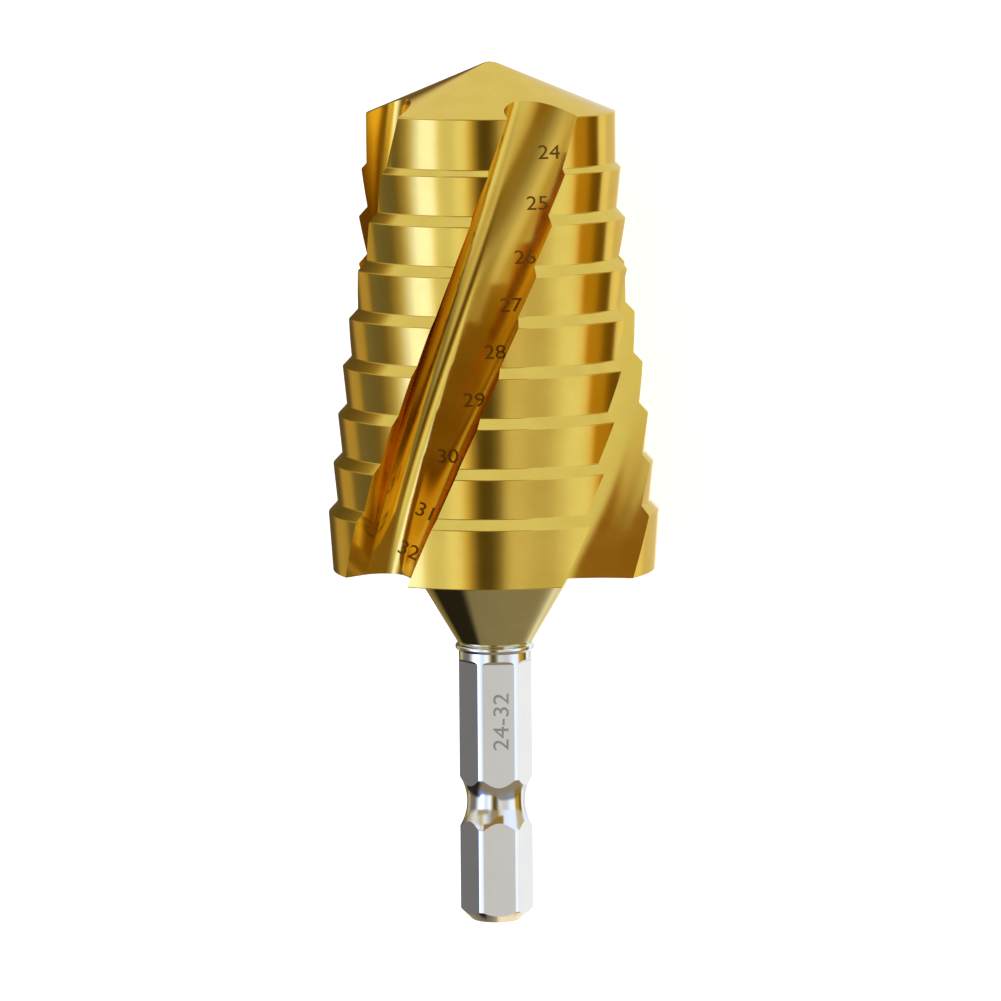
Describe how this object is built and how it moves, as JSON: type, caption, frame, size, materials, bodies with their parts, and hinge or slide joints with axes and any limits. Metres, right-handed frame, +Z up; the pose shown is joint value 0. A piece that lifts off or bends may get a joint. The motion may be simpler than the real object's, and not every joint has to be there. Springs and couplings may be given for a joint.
{
  "type": "step drill",
  "caption": "Gold-coated step drill for sheet metal: blunt cone point, stepped body with helical flutes, cone neck and a hexagonal quick-change shank.",
  "frame": {"origin": "middle of the underside of its bounding box, on the bench that it lies on", "axes": "+Y from the shank towards the point, +Z up from the bench, +X across; the drill's own axis dips 5.69 degrees towards the point"},
  "size_m": [0.0318, 0.0834, 0.0319],
  "materials": {
    "coated_steel": "hardened tool steel, ground, with a polished gold coating on the body and neck and bare bright steel on the shank"
  },
  "bodies": {
    "root": {"step_drill": "coated_steel"}
  },
  "joints": []
}
